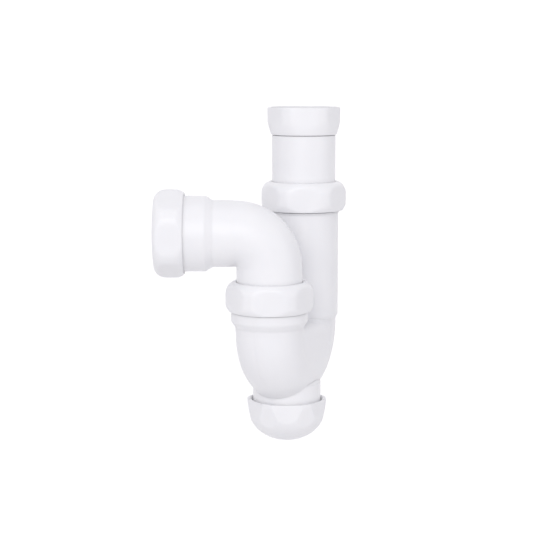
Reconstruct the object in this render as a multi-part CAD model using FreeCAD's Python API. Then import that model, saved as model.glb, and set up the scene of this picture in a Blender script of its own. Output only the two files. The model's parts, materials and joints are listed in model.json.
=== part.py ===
import FreeCAD, Part
import math
import os

# Curved sink trap for a 40 mm waste pipe, in millimetres.
# +Z points up along the inlet. The origin is the centre of the inlet nut's open mouth.
# The outlet points to -X.

Vector = FreeCAD.Vector
UP = Vector(0, 0, 1)
OUTLET_DIRECTION = Vector(-1, 0, 0)

# Pipes and clearances
tube_radius = 20.0
tube_wall = 1.8
moving_clearance = 0.3
rest_gap = 0.3

# Plan of the trap: the space between the outlet leg's nut and the inlet leg, and how far
# the bend is swivelled from the outlet's line
leg_gap = 2.4
swivel_angle = 65.9

# Heights, measured down from the mouth of the inlet nut
inlet_leg_mouth_depth = 54.6
outlet_leg_drop = 57.0

# Inlet nut, 1 1/4 inch pipe thread, and the tube's flange that it holds
inlet_thread_radius = 19.5
inlet_thread_length = 8.6
inlet_thread_runout = 0.2
inlet_relief = 0.5
inlet_nut_wall = 3.7
inlet_nut_corner_rise = 1.8
inlet_nut_band = 8.8
inlet_nut_floor = 3.2
inlet_nut_foot_wall = 2.7
inlet_flange_clearance = 0.4
inlet_flange_width = 1.2
inlet_flange_thickness = 2.4
inlet_washer_thickness = 2.5

# Inlet tube below the nut
inlet_tube_insertion = 52.0
tube_end_chamfer = 0.9

# Sockets that the compression nuts screw on to
socket_wall = 3.3
socket_thread_length = 9.4
socket_thread_runout = 1.0
socket_mouth_flare = 2.2
socket_mouth_depth = 3.4

# Conical seals
seal_height = 6.2
seal_cone_height = 3.6
seal_nose_wall = 0.8
seal_head_overlap = 0.4

# Compression nuts: the same nut closes both legs and the outlet
nut_wall = 2.85
nut_corner_rise = 1.5
nut_height = 18.0
nut_shoulder_height = 5.2
nut_lip_height = 3.6
nut_lip_wall = 1.0
nut_top_wall = 3.4
nut_hole_clearance = 1.9
nut_crown_wall = 1.0
nut_rounding = 1.1

# Legs and bend of the trap body
leg_wall = 1.65
inlet_lip_rise = 0.45
inlet_lip_height = 1.1
outlet_collar_inset = 0.2
outlet_collar_height = 5.6
outlet_taper_height = 3.8
socket_end_rise = 0.5
leg_taper_height = 2.6
bend_straight = 1.7
bend_step = 1.35
bend_wall = 1.9
crotch_drop = 5.8
crotch_rounding = 7.0
crotch_side_inset = 0.25

# Cleanout neck and cap
neck_radius = 21.2
neck_wall = 2.7
neck_top_rise = 16.1
neck_top_taper = 4.0
neck_length_in_cap = 9.2
cap_rim_rise = 1.3
cap_depth = 26.5
cap_wall = 2.2
cap_knuckle_radius = 20.0
cap_crown_radius = 32.0
cap_mouth_relief = 1.1
cap_mouth_relief_depth = 1.5
cap_rim_edge = 0.3
cap_rim_rounding = 0.5
cap_corner_rise = 2.0
cap_corner_cut = 0.05
cap_facet_height = 10.2
cap_facet_lean = 1.2
gasket_thickness = 2.2
gasket_overlap = 0.9

# Outlet elbow
elbow_spigot_clearance = 3.3
elbow_nut_lift = 8.36
elbow_inner_radius = 0.7
elbow_arm_rise = 0.2
elbow_arm_length = 18.9
elbow_socket_wall = 2.6
elbow_socket_length = 21.7
elbow_shoulder_length = 4.3
elbow_shoulder_lead = 1.2

# Directions, in degrees about each nut's own axis, that one of its flats faces
inlet_nut_turn = 0.0
inlet_leg_nut_turn = 0.0
outlet_leg_nut_turn = 30.0
outlet_nut_turn = 13.0
cap_turn = -90.0

# Radii that follow from the pipe, the walls and the clearances
inlet_relief_radius = inlet_thread_radius + inlet_relief
inlet_nut_half_flats = inlet_thread_radius + inlet_nut_wall
inlet_nut_radius = inlet_nut_half_flats + inlet_nut_corner_rise
inlet_flange_radius = inlet_thread_radius - inlet_flange_clearance
inlet_neck_radius = inlet_flange_radius - inlet_flange_width
inlet_nut_hole_radius = inlet_neck_radius + moving_clearance
inlet_nut_foot_radius = inlet_nut_hole_radius + inlet_nut_foot_wall
socket_bore_radius = tube_radius + moving_clearance
socket_thread_radius = socket_bore_radius + socket_wall
socket_mouth_radius = socket_bore_radius + socket_mouth_flare
seal_nose_radius = socket_bore_radius + seal_nose_wall
seal_head_radius = socket_mouth_radius + seal_head_overlap
nut_bore_radius = socket_thread_radius + moving_clearance
nut_hole_radius = tube_radius + nut_hole_clearance
nut_half_flats = nut_bore_radius + nut_wall
nut_radius = nut_half_flats + nut_corner_rise
nut_lip_radius = nut_bore_radius + nut_lip_wall
nut_crown_radius = nut_hole_radius + nut_crown_wall
inlet_leg_radius = socket_bore_radius + leg_wall
inlet_lip_radius = inlet_leg_radius + inlet_lip_rise
outlet_collar_radius = socket_thread_radius - outlet_collar_inset
bend_tube_radius = inlet_leg_radius - bend_step
water_radius = bend_tube_radius - bend_wall
cap_bore_radius = neck_radius + moving_clearance
cap_rim_flat = cap_bore_radius + cap_mouth_relief + cap_rim_edge
cap_rim_corner = cap_rim_flat + cap_corner_rise
cap_radius = cap_rim_corner - cap_corner_cut
gasket_bore_radius = neck_radius - neck_wall - gasket_overlap
elbow_arm_radius = tube_radius + elbow_arm_rise
elbow_socket_radius = socket_bore_radius + elbow_socket_wall
elbow_bend_radius = tube_radius + elbow_inner_radius

# Compression joints: each seal sits in its socket's mouth and the nut covers it
seal_depth_in_mouth = socket_mouth_depth * (socket_mouth_radius - seal_nose_radius) / socket_mouth_flare
seal_depth_in_mouth = seal_depth_in_mouth - rest_gap
nut_rise = seal_height + rest_gap + nut_top_wall - seal_depth_in_mouth
nut_mouth_drop = nut_height - nut_rise

# Lengths and heights that follow
inlet_nut_height = (inlet_thread_length + inlet_thread_runout + inlet_washer_thickness
                    + inlet_flange_thickness + rest_gap + inlet_nut_floor)
thread_and_runout = socket_thread_length + socket_thread_runout
outlet_socket_length = thread_and_runout + outlet_collar_height + outlet_taper_height - socket_end_rise
leg_spacing = nut_radius + leg_gap + inlet_leg_radius
ring_radius = leg_spacing / 2
outlet_leg_mouth_depth = inlet_leg_mouth_depth + outlet_leg_drop
leg_socket_end_depth = outlet_leg_mouth_depth + outlet_socket_length
bend_centre_depth = leg_socket_end_depth + leg_taper_height + bend_straight
crotch_depth = bend_centre_depth + crotch_drop
bend_underside_depth = bend_centre_depth + ring_radius + bend_tube_radius
neck_top_depth = bend_underside_depth - neck_top_rise
cap_rim_depth = bend_underside_depth - cap_rim_rise
neck_end_depth = cap_rim_depth + neck_length_in_cap
elbow_spigot_insertion = outlet_socket_length - elbow_spigot_clearance
elbow_axis_depth = outlet_leg_mouth_depth - nut_rise - elbow_nut_lift - elbow_bend_radius
outlet_stop_offset = elbow_bend_radius + elbow_arm_length
outlet_mouth_offset = outlet_stop_offset + elbow_socket_length
elbow_shoulder_end = outlet_stop_offset - elbow_shoulder_lead
elbow_shoulder_start = elbow_shoulder_end - elbow_shoulder_length

# Plan positions of the vertical axes
swivel = math.radians(swivel_angle)
bend_direction = Vector(-math.cos(swivel), -math.sin(swivel), 0)
outlet_leg_axis = bend_direction * leg_spacing
neck_axis = bend_direction * ring_radius


def rounded_wire(corners):
    """Closed wire through (radius, height, rounding) corners, with an arc at each rounding."""
    points = [Vector(corner[0], 0, corner[1]) for corner in corners]
    pieces = []
    for index, corner in enumerate(corners):
        here = points[index]
        rounding = corner[2]
        if rounding <= 0:
            pieces.append((here, None, here))
            continue
        back = points[index - 1] - here
        ahead = points[(index + 1) % len(points)] - here
        back.normalize()
        ahead.normalize()
        half_angle = back.getAngle(ahead) / 2
        reach = rounding / math.tan(half_angle)
        inward = back + ahead
        inward.normalize()
        middle = here + inward * (rounding / math.sin(half_angle) - rounding)
        pieces.append((here + back * reach, middle, here + ahead * reach))
    edges = []
    for index, (start, middle, end) in enumerate(pieces):
        if middle is not None:
            edges.append(Part.Arc(start, middle, end).toShape())
        following = pieces[(index + 1) % len(pieces)][0]
        if end.distanceToPoint(following) > 1e-6:
            edges.append(Part.makeLine(end, following))
    return Part.Wire(edges)


def turned(corners):
    """Solid turned about the vertical axis from (radius, height, rounding) corners."""
    return Part.Face(rounded_wire(corners)).revolve(Vector(0, 0, 0), UP, 360)


def column(radius, low, high):
    """Vertical cylinder between two heights."""
    return Part.makeCylinder(radius, high - low, Vector(0, 0, low))


def facet_ring(half_flats, height, turn):
    """Corners of a regular hexagon whose flats lie at half_flats from the axis."""
    corner_radius = half_flats / math.cos(math.radians(30))
    points = []
    for step in range(6):
        angle = math.radians(turn + 30 + 60 * step)
        points.append(Vector(corner_radius * math.cos(angle), corner_radius * math.sin(angle), height))
    return Part.makePolygon(points + points[:1])


def alternating_ring(flat, corner, height, turn):
    """Twelve-sided ring: six faces at distance flat and, between them, six at distance corner."""
    half_width = 2 * corner - math.sqrt(3) * flat
    points = []
    for step in range(6):
        angle = math.radians(turn + 60 * step)
        outward = Vector(math.cos(angle), math.sin(angle), 0)
        sideways = Vector(-math.sin(angle), math.cos(angle), 0)
        for side in (-1, 1):
            points.append(outward * flat + sideways * (side * half_width) + UP * height)
    return Part.makePolygon(points + points[:1])


def placed(shape, position, direction=UP):
    """The shape with its own +Z axis laid along direction and its origin at position."""
    moved = shape.copy()
    moved.Placement = FreeCAD.Placement(position, FreeCAD.Rotation(UP, direction)).multiply(moved.Placement)
    return moved


def make_inlet_nut():
    """Union nut that hangs on the inlet tube's flange, with its mouth at height 0."""
    floor_top = inlet_nut_floor - inlet_nut_height
    outside = turned([
        (0, 0, 0),
        (inlet_nut_radius, 0, 1.3),
        (inlet_nut_radius, -inlet_nut_band, 1.5),
        (inlet_nut_foot_radius, -inlet_nut_height, 0.5),
        (0, -inlet_nut_height, 0),
    ])
    flats = Part.makeLoft([
        facet_ring(inlet_nut_half_flats, 0, inlet_nut_turn),
        facet_ring(inlet_nut_half_flats, -inlet_nut_height, inlet_nut_turn),
    ], True, True)
    inside = turned([
        (0, 0, 0),
        (inlet_thread_radius, 0, 0),
        (inlet_thread_radius, -inlet_thread_length, 0),
        (inlet_relief_radius, -inlet_thread_length, 0),
        (inlet_relief_radius, floor_top, 0),
        (inlet_nut_hole_radius, floor_top, 0),
        (inlet_nut_hole_radius, -inlet_nut_height, 0),
        (0, -inlet_nut_height, 0),
    ])
    return outside.common(flats).cut(inside)


def make_inlet_tube():
    """Straight tube with a flange and a necked top that the inlet nut holds."""
    flange_low = inlet_nut_floor - inlet_nut_height + rest_gap
    flange_top = flange_low + inlet_flange_thickness
    shoulder = -inlet_nut_height - moving_clearance
    foot = -inlet_leg_mouth_depth - inlet_tube_insertion
    neck_bore = inlet_neck_radius - tube_wall
    tube_bore = tube_radius - tube_wall
    return turned([
        (neck_bore, flange_top, 0),
        (inlet_flange_radius, flange_top, 0.3),
        (inlet_flange_radius, flange_low, 0),
        (inlet_neck_radius, flange_low, 0),
        (inlet_neck_radius, shoulder, 0),
        (tube_radius, shoulder, 0.5),
        (tube_radius, foot + tube_end_chamfer, 0),
        (tube_radius - tube_end_chamfer, foot, 0),
        (tube_bore, foot, 0),
        (tube_bore, shoulder - tube_wall, 0),
        (neck_bore, shoulder - tube_wall + (tube_bore - neck_bore), 0),
    ])


def make_inlet_washer():
    """Flat washer that lies on the inlet tube's flange."""
    low = inlet_nut_floor - inlet_nut_height + rest_gap + inlet_flange_thickness
    ring = column(inlet_flange_radius, low, low + inlet_washer_thickness)
    return ring.cut(column(inlet_neck_radius - tube_wall, low, low + inlet_washer_thickness))


def make_compression_nut(turn):
    """Compression nut with its mouth at height 0 and its holed end at nut_height."""
    bore = nut_bore_radius
    hole = nut_hole_radius
    shoulder = nut_height - nut_top_wall
    outside = turned([
        (0, 0, 0),
        (nut_lip_radius, 0, 0.5),
        (nut_radius, nut_lip_height, nut_rounding),
        (nut_radius, nut_height - nut_shoulder_height, 2.2),
        (nut_crown_radius + 2.9, nut_height - 2.2, 1.4),
        (nut_crown_radius, nut_height, 0.5),
        (0, nut_height, 0),
    ])
    flats = Part.makeLoft([
        facet_ring(nut_half_flats, 0, turn),
        facet_ring(nut_half_flats, nut_height, turn),
    ], True, True)
    inside = turned([
        (0, 0, 0),
        (bore + 0.5, 0, 0),
        (bore, 0.9, 0),
        (bore, shoulder, 0),
        (hole, shoulder, 0),
        (hole, nut_height - 0.7, 0),
        (hole + 0.5, nut_height, 0),
        (0, nut_height, 0),
    ])
    return outside.common(flats).cut(inside)


def make_conical_seal():
    """Seal with its cone's nose at height 0, to sit in a socket's tapered mouth."""
    return turned([
        (tube_radius + moving_clearance, 0, 0),
        (seal_nose_radius, 0, 0),
        (seal_head_radius, seal_cone_height, 0),
        (seal_head_radius, seal_height, 0.5),
        (tube_radius + moving_clearance, seal_height, 0),
    ])


def socket_cutter(depth):
    """Bore of a pipe socket, with its mouth at height 0 and its end at -depth."""
    return turned([
        (0, 0, 0),
        (socket_mouth_radius, 0, 0),
        (socket_bore_radius, -socket_mouth_depth, 0),
        (socket_bore_radius, -depth, 0),
        (0, -depth, 0),
    ])


def half_ring(radius):
    """Lower half of a ring in the plane of the bend, centred between the two legs."""
    centre = Vector(0, 0, -bend_centre_depth)
    across = UP.cross(bend_direction)
    circle = Part.Circle(centre - bend_direction * ring_radius, UP, radius)
    disc = Part.Face(Part.Wire(circle.toShape()))
    ring = disc.revolve(centre, across, -180)
    ring.translate(neck_axis)
    return ring


def crotch_web(half_width, top, rounding):
    """Slab inside the half ring's centre line, nearly flush with its sides, with a rounded top."""
    across = UP.cross(bend_direction)
    centre = Vector(0, 0, -bend_centre_depth)
    disc = Part.makeCylinder(ring_radius, 2 * half_width, centre - across * half_width, across)
    low = -bend_centre_depth - ring_radius - 1.0
    outline = [
        (-half_width, low, 0),
        (half_width, low, 0),
        (half_width, top, rounding),
        (-half_width, top, rounding),
    ]
    profile = Part.Face(rounded_wire(outline))
    profile.Placement = FreeCAD.Placement(
        Vector(0, 0, 0), FreeCAD.Rotation(across, bend_direction, UP, "ZXY"))
    profile.translate(bend_direction * -ring_radius)
    web = disc.common(profile.extrude(bend_direction * (2 * ring_radius)))
    web.translate(neck_axis)
    return web


def make_trap_body():
    """Both legs, the U bend and the cleanout neck, moulded in one piece."""
    bend_level = -bend_centre_depth
    socket_end = -leg_socket_end_depth
    inlet_mouth = -inlet_leg_mouth_depth
    outlet_mouth = -outlet_leg_mouth_depth
    inlet_thread_end = inlet_mouth - thread_and_runout
    outlet_thread_end = outlet_mouth - thread_and_runout
    neck_end = -neck_end_depth

    inlet_leg = turned([
        (0, inlet_mouth, 0),
        (socket_thread_radius, inlet_mouth, 0.6),
        (socket_thread_radius, inlet_mouth - socket_thread_length, 0),
        (inlet_leg_radius - 0.5, inlet_thread_end, 0),
        (inlet_lip_radius, inlet_thread_end, 0.3),
        (inlet_lip_radius, inlet_thread_end - inlet_lip_height, 0.3),
        (inlet_leg_radius, inlet_thread_end - inlet_lip_height, 0),
        (inlet_leg_radius, socket_end, 0.8),
        (bend_tube_radius, socket_end - leg_taper_height, 0),
        (bend_tube_radius, bend_level, 0),
        (0, bend_level, 0),
    ])
    collar_end = outlet_thread_end - outlet_collar_height
    outlet_leg = turned([
        (0, outlet_mouth, 0),
        (socket_thread_radius, outlet_mouth, 0.6),
        (socket_thread_radius, outlet_thread_end, 0),
        (outlet_collar_radius, outlet_thread_end, 0.4),
        (outlet_collar_radius, collar_end, 0.8),
        (bend_tube_radius + 0.4, collar_end - outlet_taper_height, 0),
        (bend_tube_radius, bend_level, 0),
        (0, bend_level, 0),
    ])
    outlet_leg.translate(outlet_leg_axis)
    neck = turned([
        (0, neck_end, 0),
        (neck_radius, neck_end, 0.5),
        (neck_radius, -neck_top_depth - neck_top_taper, 0),
        (neck_radius - neck_top_taper, -neck_top_depth, 0),
        (0, -neck_top_depth, 0),
    ])
    neck.translate(neck_axis)
    bend = half_ring(bend_tube_radius)
    web = crotch_web(bend_tube_radius - crotch_side_inset, -crotch_depth, crotch_rounding)
    outside = inlet_leg.fuse([outlet_leg, bend, web, neck])

    inlet_bore = socket_cutter(leg_socket_end_depth - inlet_leg_mouth_depth)
    inlet_bore.translate(Vector(0, 0, inlet_mouth))
    outlet_bore = socket_cutter(leg_socket_end_depth - outlet_leg_mouth_depth)
    outlet_bore.translate(outlet_leg_axis + Vector(0, 0, outlet_mouth))
    inlet_water = column(water_radius, bend_level, socket_end + 0.5)
    outlet_water = column(water_radius, bend_level, socket_end + 0.5)
    outlet_water.translate(outlet_leg_axis)
    neck_bore = column(neck_radius - neck_wall, neck_end, bend_level - ring_radius)
    neck_bore.translate(neck_axis)
    chamber = crotch_web(water_radius - crotch_side_inset, -crotch_depth - bend_wall,
                         crotch_rounding - bend_wall)
    inside = half_ring(water_radius).fuse(
        [inlet_bore, outlet_bore, inlet_water, outlet_water, neck_bore, chamber])
    return outside.cut(inside)


def make_outlet_elbow():
    """Elbow from a plain spigot in the outlet leg round to a socket along the outlet."""
    axis_level = -elbow_axis_depth
    spigot_end = -outlet_leg_mouth_depth - elbow_spigot_insertion
    bore = tube_radius - tube_wall
    bend_level = axis_level - elbow_bend_radius
    bend_centre = Vector(-elbow_bend_radius, 0, bend_level)
    across = Vector(0, 1, 0)

    def quarter_ring(radius):
        """Quarter of a ring from the spigot's top round to the outlet arm."""
        circle = Part.Circle(Vector(0, 0, bend_level), UP, radius)
        return Part.Face(Part.Wire(circle.toShape())).revolve(bend_centre, across, -90)

    def arm(corners):
        """Turned piece laid along the outlet, its own heights measured from the leg's axis."""
        return placed(turned(corners), Vector(0, 0, axis_level), OUTLET_DIRECTION)

    spigot = turned([
        (0, bend_level, 0),
        (tube_radius, bend_level, 0),
        (tube_radius, spigot_end + tube_end_chamfer, 0),
        (tube_radius - tube_end_chamfer, spigot_end, 0),
        (0, spigot_end, 0),
    ])
    thread_start = outlet_mouth_offset - socket_thread_length
    outlet_arm = arm([
        (0, elbow_bend_radius, 0),
        (tube_radius, elbow_bend_radius, 0),
        (elbow_arm_radius, elbow_bend_radius + 2.0, 0),
        (elbow_arm_radius, elbow_shoulder_start, 0),
        (elbow_socket_radius, elbow_shoulder_end, 1.2),
        (elbow_socket_radius, thread_start, 0),
        (socket_thread_radius, thread_start, 0),
        (socket_thread_radius, outlet_mouth_offset, 0.6),
        (0, outlet_mouth_offset, 0),
    ])
    outside = spigot.fuse([quarter_ring(tube_radius), outlet_arm])
    spigot_bore = column(bore, spigot_end, bend_level)
    arm_bore = arm([
        (0, elbow_bend_radius, 0),
        (bore, elbow_bend_radius, 0),
        (bore, outlet_stop_offset, 0),
        (socket_bore_radius, outlet_stop_offset, 0),
        (socket_bore_radius, outlet_mouth_offset - socket_mouth_depth, 0),
        (socket_mouth_radius, outlet_mouth_offset, 0),
        (0, outlet_mouth_offset, 0),
    ])
    elbow = outside.cut(spigot_bore.fuse([quarter_ring(bore), arm_bore]))
    elbow.translate(outlet_leg_axis)
    return elbow


def cap_dome(radius, knuckle, crown, apex, top):
    """Closed dome: a straight wall from top, a knuckle arc, then a crown arc down to apex."""
    knuckle_offset = radius - knuckle
    crown_centre = apex + crown
    knuckle_level = crown_centre - math.sqrt((crown - knuckle) ** 2 - knuckle_offset ** 2)
    lean = math.asin(knuckle_offset / (crown - knuckle))
    tangent = Vector(crown * math.sin(lean), 0, crown_centre - crown * math.cos(lean))
    middle_angle = (math.pi / 2 + lean) / 2
    knuckle_middle = Vector(knuckle_offset + knuckle * math.sin(middle_angle), 0,
                            knuckle_level - knuckle * math.cos(middle_angle))
    crown_middle = Vector(crown * math.sin(lean / 2), 0, crown_centre - crown * math.cos(lean / 2))
    axis_top = Vector(0, 0, top)
    wall_top = Vector(radius, 0, top)
    wall_foot = Vector(radius, 0, knuckle_level)
    apex_point = Vector(0, 0, apex)
    edges = [
        Part.makeLine(axis_top, wall_top),
        Part.makeLine(wall_top, wall_foot),
        Part.Arc(wall_foot, knuckle_middle, tangent).toShape(),
        Part.Arc(tangent, crown_middle, apex_point).toShape(),
        Part.makeLine(apex_point, axis_top),
    ]
    return Part.Face(Part.Wire(edges)).revolve(Vector(0, 0, 0), UP, 360)


def make_cleanout_cap():
    """Domed screw cap whose six flats alternate with six leaning corner facets."""
    rim = -cap_rim_depth
    apex = rim - cap_depth
    seat = -neck_end_depth - gasket_thickness
    facet_drop = cap_depth / cap_facet_height
    deep_flat = cap_rim_flat + cap_facet_lean * facet_drop
    deep_corner = cap_rim_corner - cap_facet_lean * facet_drop
    outside = cap_dome(cap_radius, cap_knuckle_radius, cap_crown_radius, apex, rim)
    rim_round = turned([
        (0, rim, 0),
        (cap_radius, rim, cap_rim_rounding),
        (cap_radius, apex, 0),
        (0, apex, 0),
    ])
    facets = Part.makeLoft([
        alternating_ring(cap_rim_flat, cap_rim_corner, rim, cap_turn),
        alternating_ring(deep_flat, deep_corner, apex, cap_turn),
    ], True, True)
    thread_space = turned([
        (0, rim, 0),
        (cap_bore_radius + cap_mouth_relief, rim, 0),
        (cap_bore_radius, rim - cap_mouth_relief_depth, 0),
        (cap_bore_radius, seat, 0),
        (0, seat, 0),
    ])
    inner_dome = cap_dome(cap_radius - cap_wall, cap_knuckle_radius - cap_wall,
                          cap_crown_radius - cap_wall, apex + cap_wall, rim)
    below_seat = column(gasket_bore_radius, apex, rim)
    hollow = inner_dome.common(below_seat).fuse(thread_space)
    cap = outside.common(rim_round).common(facets).cut(hollow)
    cap.translate(neck_axis)
    return cap


def make_cleanout_gasket():
    """Flat ring under the end of the cleanout neck."""
    top = -neck_end_depth - rest_gap
    bottom = top - gasket_thickness + rest_gap
    ring = column(neck_radius, bottom, top).cut(column(gasket_bore_radius, bottom, top))
    ring.translate(neck_axis)
    return ring


inlet_leg_mouth = Vector(0, 0, -inlet_leg_mouth_depth)
outlet_leg_mouth = outlet_leg_axis + Vector(0, 0, -outlet_leg_mouth_depth)
outlet_mouth_point = outlet_leg_axis + OUTLET_DIRECTION * outlet_mouth_offset - UP * elbow_axis_depth

parts = {
    "inlet_nut": make_inlet_nut(),
    "inlet_washer": make_inlet_washer(),
    "inlet_tube": make_inlet_tube(),
    "trap_body": make_trap_body(),
    "outlet_elbow": make_outlet_elbow(),
    "cleanout_cap": make_cleanout_cap(),
    "cleanout_gasket": make_cleanout_gasket(),
}

joints = [
    ("inlet_leg", inlet_leg_mouth, UP, inlet_leg_nut_turn),
    ("outlet_leg", outlet_leg_mouth, UP, outlet_leg_nut_turn),
    ("outlet", outlet_mouth_point, OUTLET_DIRECTION, outlet_nut_turn),
]
for name, mouth, direction, turn in joints:
    parts[name + "_seal"] = placed(make_conical_seal(), mouth - direction * seal_depth_in_mouth, direction)
    parts[name + "_nut"] = placed(make_compression_nut(turn), mouth - direction * nut_mouth_drop, direction)

os.makedirs("parts", exist_ok=True)
for name, shape in parts.items():
    solid = shape.removeSplitter()
    if len(solid.Solids) == 1:
        solid = solid.Solids[0]
    solid.exportStep("parts/" + name + ".step")
    box = solid.BoundBox
    print(name, solid.ShapeType, solid.isValid(), round(solid.Volume / 1000, 2), "cm3",
          [round(value, 1) for value in (box.XMin, box.XMax, box.YMin, box.YMax, box.ZMin, box.ZMax)])
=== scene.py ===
import json
import logging
import math
from dataclasses import dataclass
from enum import Enum

import bmesh
import bpy
from mathutils import Matrix, Vector


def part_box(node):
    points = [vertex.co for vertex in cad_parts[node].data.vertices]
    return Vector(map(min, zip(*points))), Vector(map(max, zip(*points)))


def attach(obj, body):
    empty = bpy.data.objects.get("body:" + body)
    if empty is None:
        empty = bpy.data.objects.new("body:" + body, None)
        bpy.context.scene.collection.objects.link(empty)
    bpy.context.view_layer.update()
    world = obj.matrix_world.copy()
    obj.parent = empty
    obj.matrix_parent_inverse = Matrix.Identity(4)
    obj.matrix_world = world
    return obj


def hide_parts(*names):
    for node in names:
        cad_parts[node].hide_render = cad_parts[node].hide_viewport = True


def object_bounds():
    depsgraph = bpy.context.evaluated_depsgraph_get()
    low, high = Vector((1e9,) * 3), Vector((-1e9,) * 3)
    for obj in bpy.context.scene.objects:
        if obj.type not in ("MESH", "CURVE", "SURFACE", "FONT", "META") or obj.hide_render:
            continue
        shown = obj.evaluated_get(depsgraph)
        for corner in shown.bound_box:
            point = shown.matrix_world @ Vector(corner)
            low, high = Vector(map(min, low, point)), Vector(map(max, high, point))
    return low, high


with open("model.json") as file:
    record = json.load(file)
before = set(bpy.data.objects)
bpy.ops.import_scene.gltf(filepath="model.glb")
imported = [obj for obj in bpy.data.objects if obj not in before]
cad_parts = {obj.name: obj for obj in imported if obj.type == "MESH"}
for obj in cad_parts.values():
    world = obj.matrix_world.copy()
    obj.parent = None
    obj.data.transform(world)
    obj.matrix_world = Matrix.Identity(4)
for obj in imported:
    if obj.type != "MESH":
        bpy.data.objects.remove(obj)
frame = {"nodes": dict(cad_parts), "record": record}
cad_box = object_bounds()

log = logging.getLogger("sink_trap")

MM = 0.001
THREAD_PITCH = 3.0 * MM
SIXTH_TURN = math.pi / 3
UP = Vector((0, 0, 1))
DOWN = Vector((0, 0, -1))
LEFT = Vector((-1, 0, 0))
TOWARDS_VIEWER = Vector((0, -1, 0))
ORIGIN = (0.0, 0.0, 0.0)
BACKWARDS = (0.0, 1.0, 0.0)

Point = tuple[float, float, float]
Colour = tuple[float, float, float, float]
RadiusHeight = tuple[float, float]
Face = tuple[int, ...]
Material = bpy.types.Material
Mesh = bpy.types.Mesh
Socket = bpy.types.NodeSocket
World = bpy.types.World


class Side(Enum):
    """Which way a screw thread stands out of its wall."""

    MALE = 1
    FEMALE = -1


class Mould(Enum):
    """How a moulding came out of its tool, which decides the fine mark that it carries."""

    SPLIT = "a parting line along the plane of the two tool halves"
    PULLED = "a gate mark in the middle of the closed end"
    CLEAN = "no mark that shows"


class NodeSheet:
    """The node tree of a material or the sky, with short calls for adding nodes and wiring them up."""

    def __init__(self, owner: Material | World) -> None:
        """Start with an empty node tree.

        Args:
            owner: the material or world that the nodes are for.
        """
        self.owner = owner
        owner.use_nodes = True
        self.tree = owner.node_tree
        self.tree.nodes.clear()

    def add(self, kind: str, **settings: object) -> bpy.types.Node:
        """Add one node.

        Args:
            kind: the node's type, without the ShaderNode in front.
            settings: the node's own properties.

        Returns:
            The new node.
        """
        node = self.tree.nodes.new("ShaderNode" + kind)
        for name, value in settings.items():
            setattr(node, name, value)
        return node

    def feed(self, socket: Socket, value: object) -> None:
        """Set an input to a constant, or link another node's output to it.

        Args:
            socket: the input.
            value: a constant, or an output socket.
        """
        if isinstance(value, Socket):
            self.tree.links.new(value, socket)
        else:
            socket.default_value = value

    def maths(self, operation: str, *values: object, clamp: bool = False) -> Socket:
        """Work out one number.

        Args:
            operation: the Math node's operation.
            values: its inputs, constants or outputs.
            clamp: whether the result is kept from 0 to 1.

        Returns:
            The result's socket.
        """
        node = self.add("Math", operation=operation, use_clamp=clamp)
        for socket, value in zip(node.inputs, values):
            self.feed(socket, value)
        return node.outputs[0]

    def vector(self, operation: str, *values: object) -> bpy.types.Node:
        """Add a Vector Math node.

        Args:
            operation: its operation.
            values: its inputs, constants or outputs.

        Returns:
            The node, whose outputs depend on the operation.
        """
        node = self.add("VectorMath", operation=operation)
        for socket, value in zip(node.inputs, values):
            self.feed(socket, value)
        return node

    def place(self) -> Socket:
        """Return the point on the piece, in the row frame at rest, in metres."""
        return self.add("TexCoord").outputs["Object"]

    def noise(self, place: Socket, size: float, detail: float = 2.0) -> Socket:
        """Add a soft random pattern.

        Args:
            place: where the pattern is read.
            size: the size of one blotch, in metres.
            detail: how many finer layers lie on it.

        Returns:
            The pattern, about 0 to 1.
        """
        node = self.add("TexNoise")
        self.feed(node.inputs["Vector"], place)
        node.inputs["Scale"].default_value = 1.0 / size
        node.inputs["Detail"].default_value = detail
        return node.outputs["Fac"]

    def between(self, value: object, low: float, high: float) -> Socket:
        """Spread a 0 to 1 value over another range.

        Args:
            value: the value.
            low: what 0 becomes.
            high: what 1 becomes.

        Returns:
            The spread value.
        """
        node = self.add("MapRange", clamp=True)
        self.feed(node.inputs["Value"], value)
        node.inputs["To Min"].default_value = low
        node.inputs["To Max"].default_value = high
        return node.outputs["Result"]

    def blend(self, share: object, first: object, second: object) -> Socket:
        """Mix two colours.

        Args:
            share: how much of the second colour shows, 0 to 1.
            first: a colour or a colour output.
            second: a colour or a colour output.

        Returns:
            The mixed colour.
        """
        node = self.add("Mix", data_type="RGBA")
        self.feed(node.inputs["Factor"], share)
        self.feed(node.inputs["A"], first)
        self.feed(node.inputs["B"], second)
        return node.outputs["Result"]

    def relief(self, height: object, depth: float, strength: float, under: Socket | None = None) -> Socket:
        """Turn a height pattern into a surface normal.

        Args:
            height: the pattern, 0 to 1.
            depth: how far 1 stands above 0, in metres.
            strength: how much of the relief shows, 0 to 1.
            under: a normal that this relief lies on.

        Returns:
            The new normal.
        """
        node = self.add("Bump")
        self.feed(node.inputs["Height"], height)
        node.inputs["Distance"].default_value = depth
        node.inputs["Strength"].default_value = strength
        if under is not None:
            self.feed(node.inputs["Normal"], under)
        return node.outputs["Normal"]

    def finish(self, shader: bpy.types.Node, output: str = "OutputMaterial") -> Material | World:
        """Wire a shader to the surface.

        Args:
            shader: the last shader node.
            output: the kind of output node.

        Returns:
            The finished material or world.
        """
        self.feed(self.add(output).inputs["Surface"], shader.outputs[0])
        return self.owner


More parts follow.
